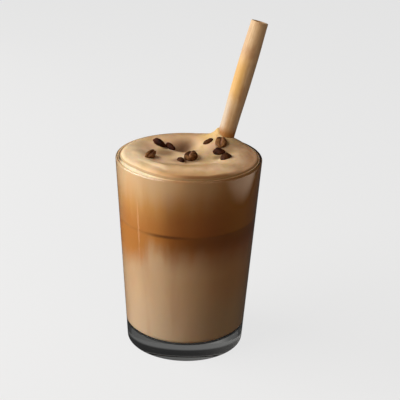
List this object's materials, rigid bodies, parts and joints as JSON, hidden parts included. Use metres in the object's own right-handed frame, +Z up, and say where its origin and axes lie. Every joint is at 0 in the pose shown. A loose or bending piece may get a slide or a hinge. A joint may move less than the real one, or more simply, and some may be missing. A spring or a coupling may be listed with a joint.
{
  "type": "iced coffee",
  "caption": "Layered iced coffee in a clear tapered tumbler with a thick base: milk, a dark coffee band, a dished foam head with roasted beans, and a leaning straw.",
  "frame": {"origin": "centre of the glass foot's flat underside, on the table", "axes": "+Z up along the glass's axis; the picture was taken from the -Y side, with +X to the right"},
  "size_m": [0.0868, 0.0848, 0.1892],
  "materials": {
    "clear_glass": "clear, polished",
    "milk": "opaque milky liquid",
    "coffee": "dark amber liquid",
    "foam": "smooth fine-bubbled froth",
    "straw": "plain tan, satin",
    "roasted_bean": "dark roast, slight oil sheen"
  },
  "bodies": {
    "root": {"glass": "clear_glass", "milk": "milk", "coffee": "coffee", "foam": "foam", "straw": "straw", "bean_1": "roasted_bean", "bean_2": "roasted_bean", "bean_3": "roasted_bean", "bean_4": "roasted_bean", "bean_5": "roasted_bean", "bean_6": "roasted_bean", "bean_7": "roasted_bean", "bean_8": "roasted_bean", "bean_9": "roasted_bean"}
  },
  "joints": []
}
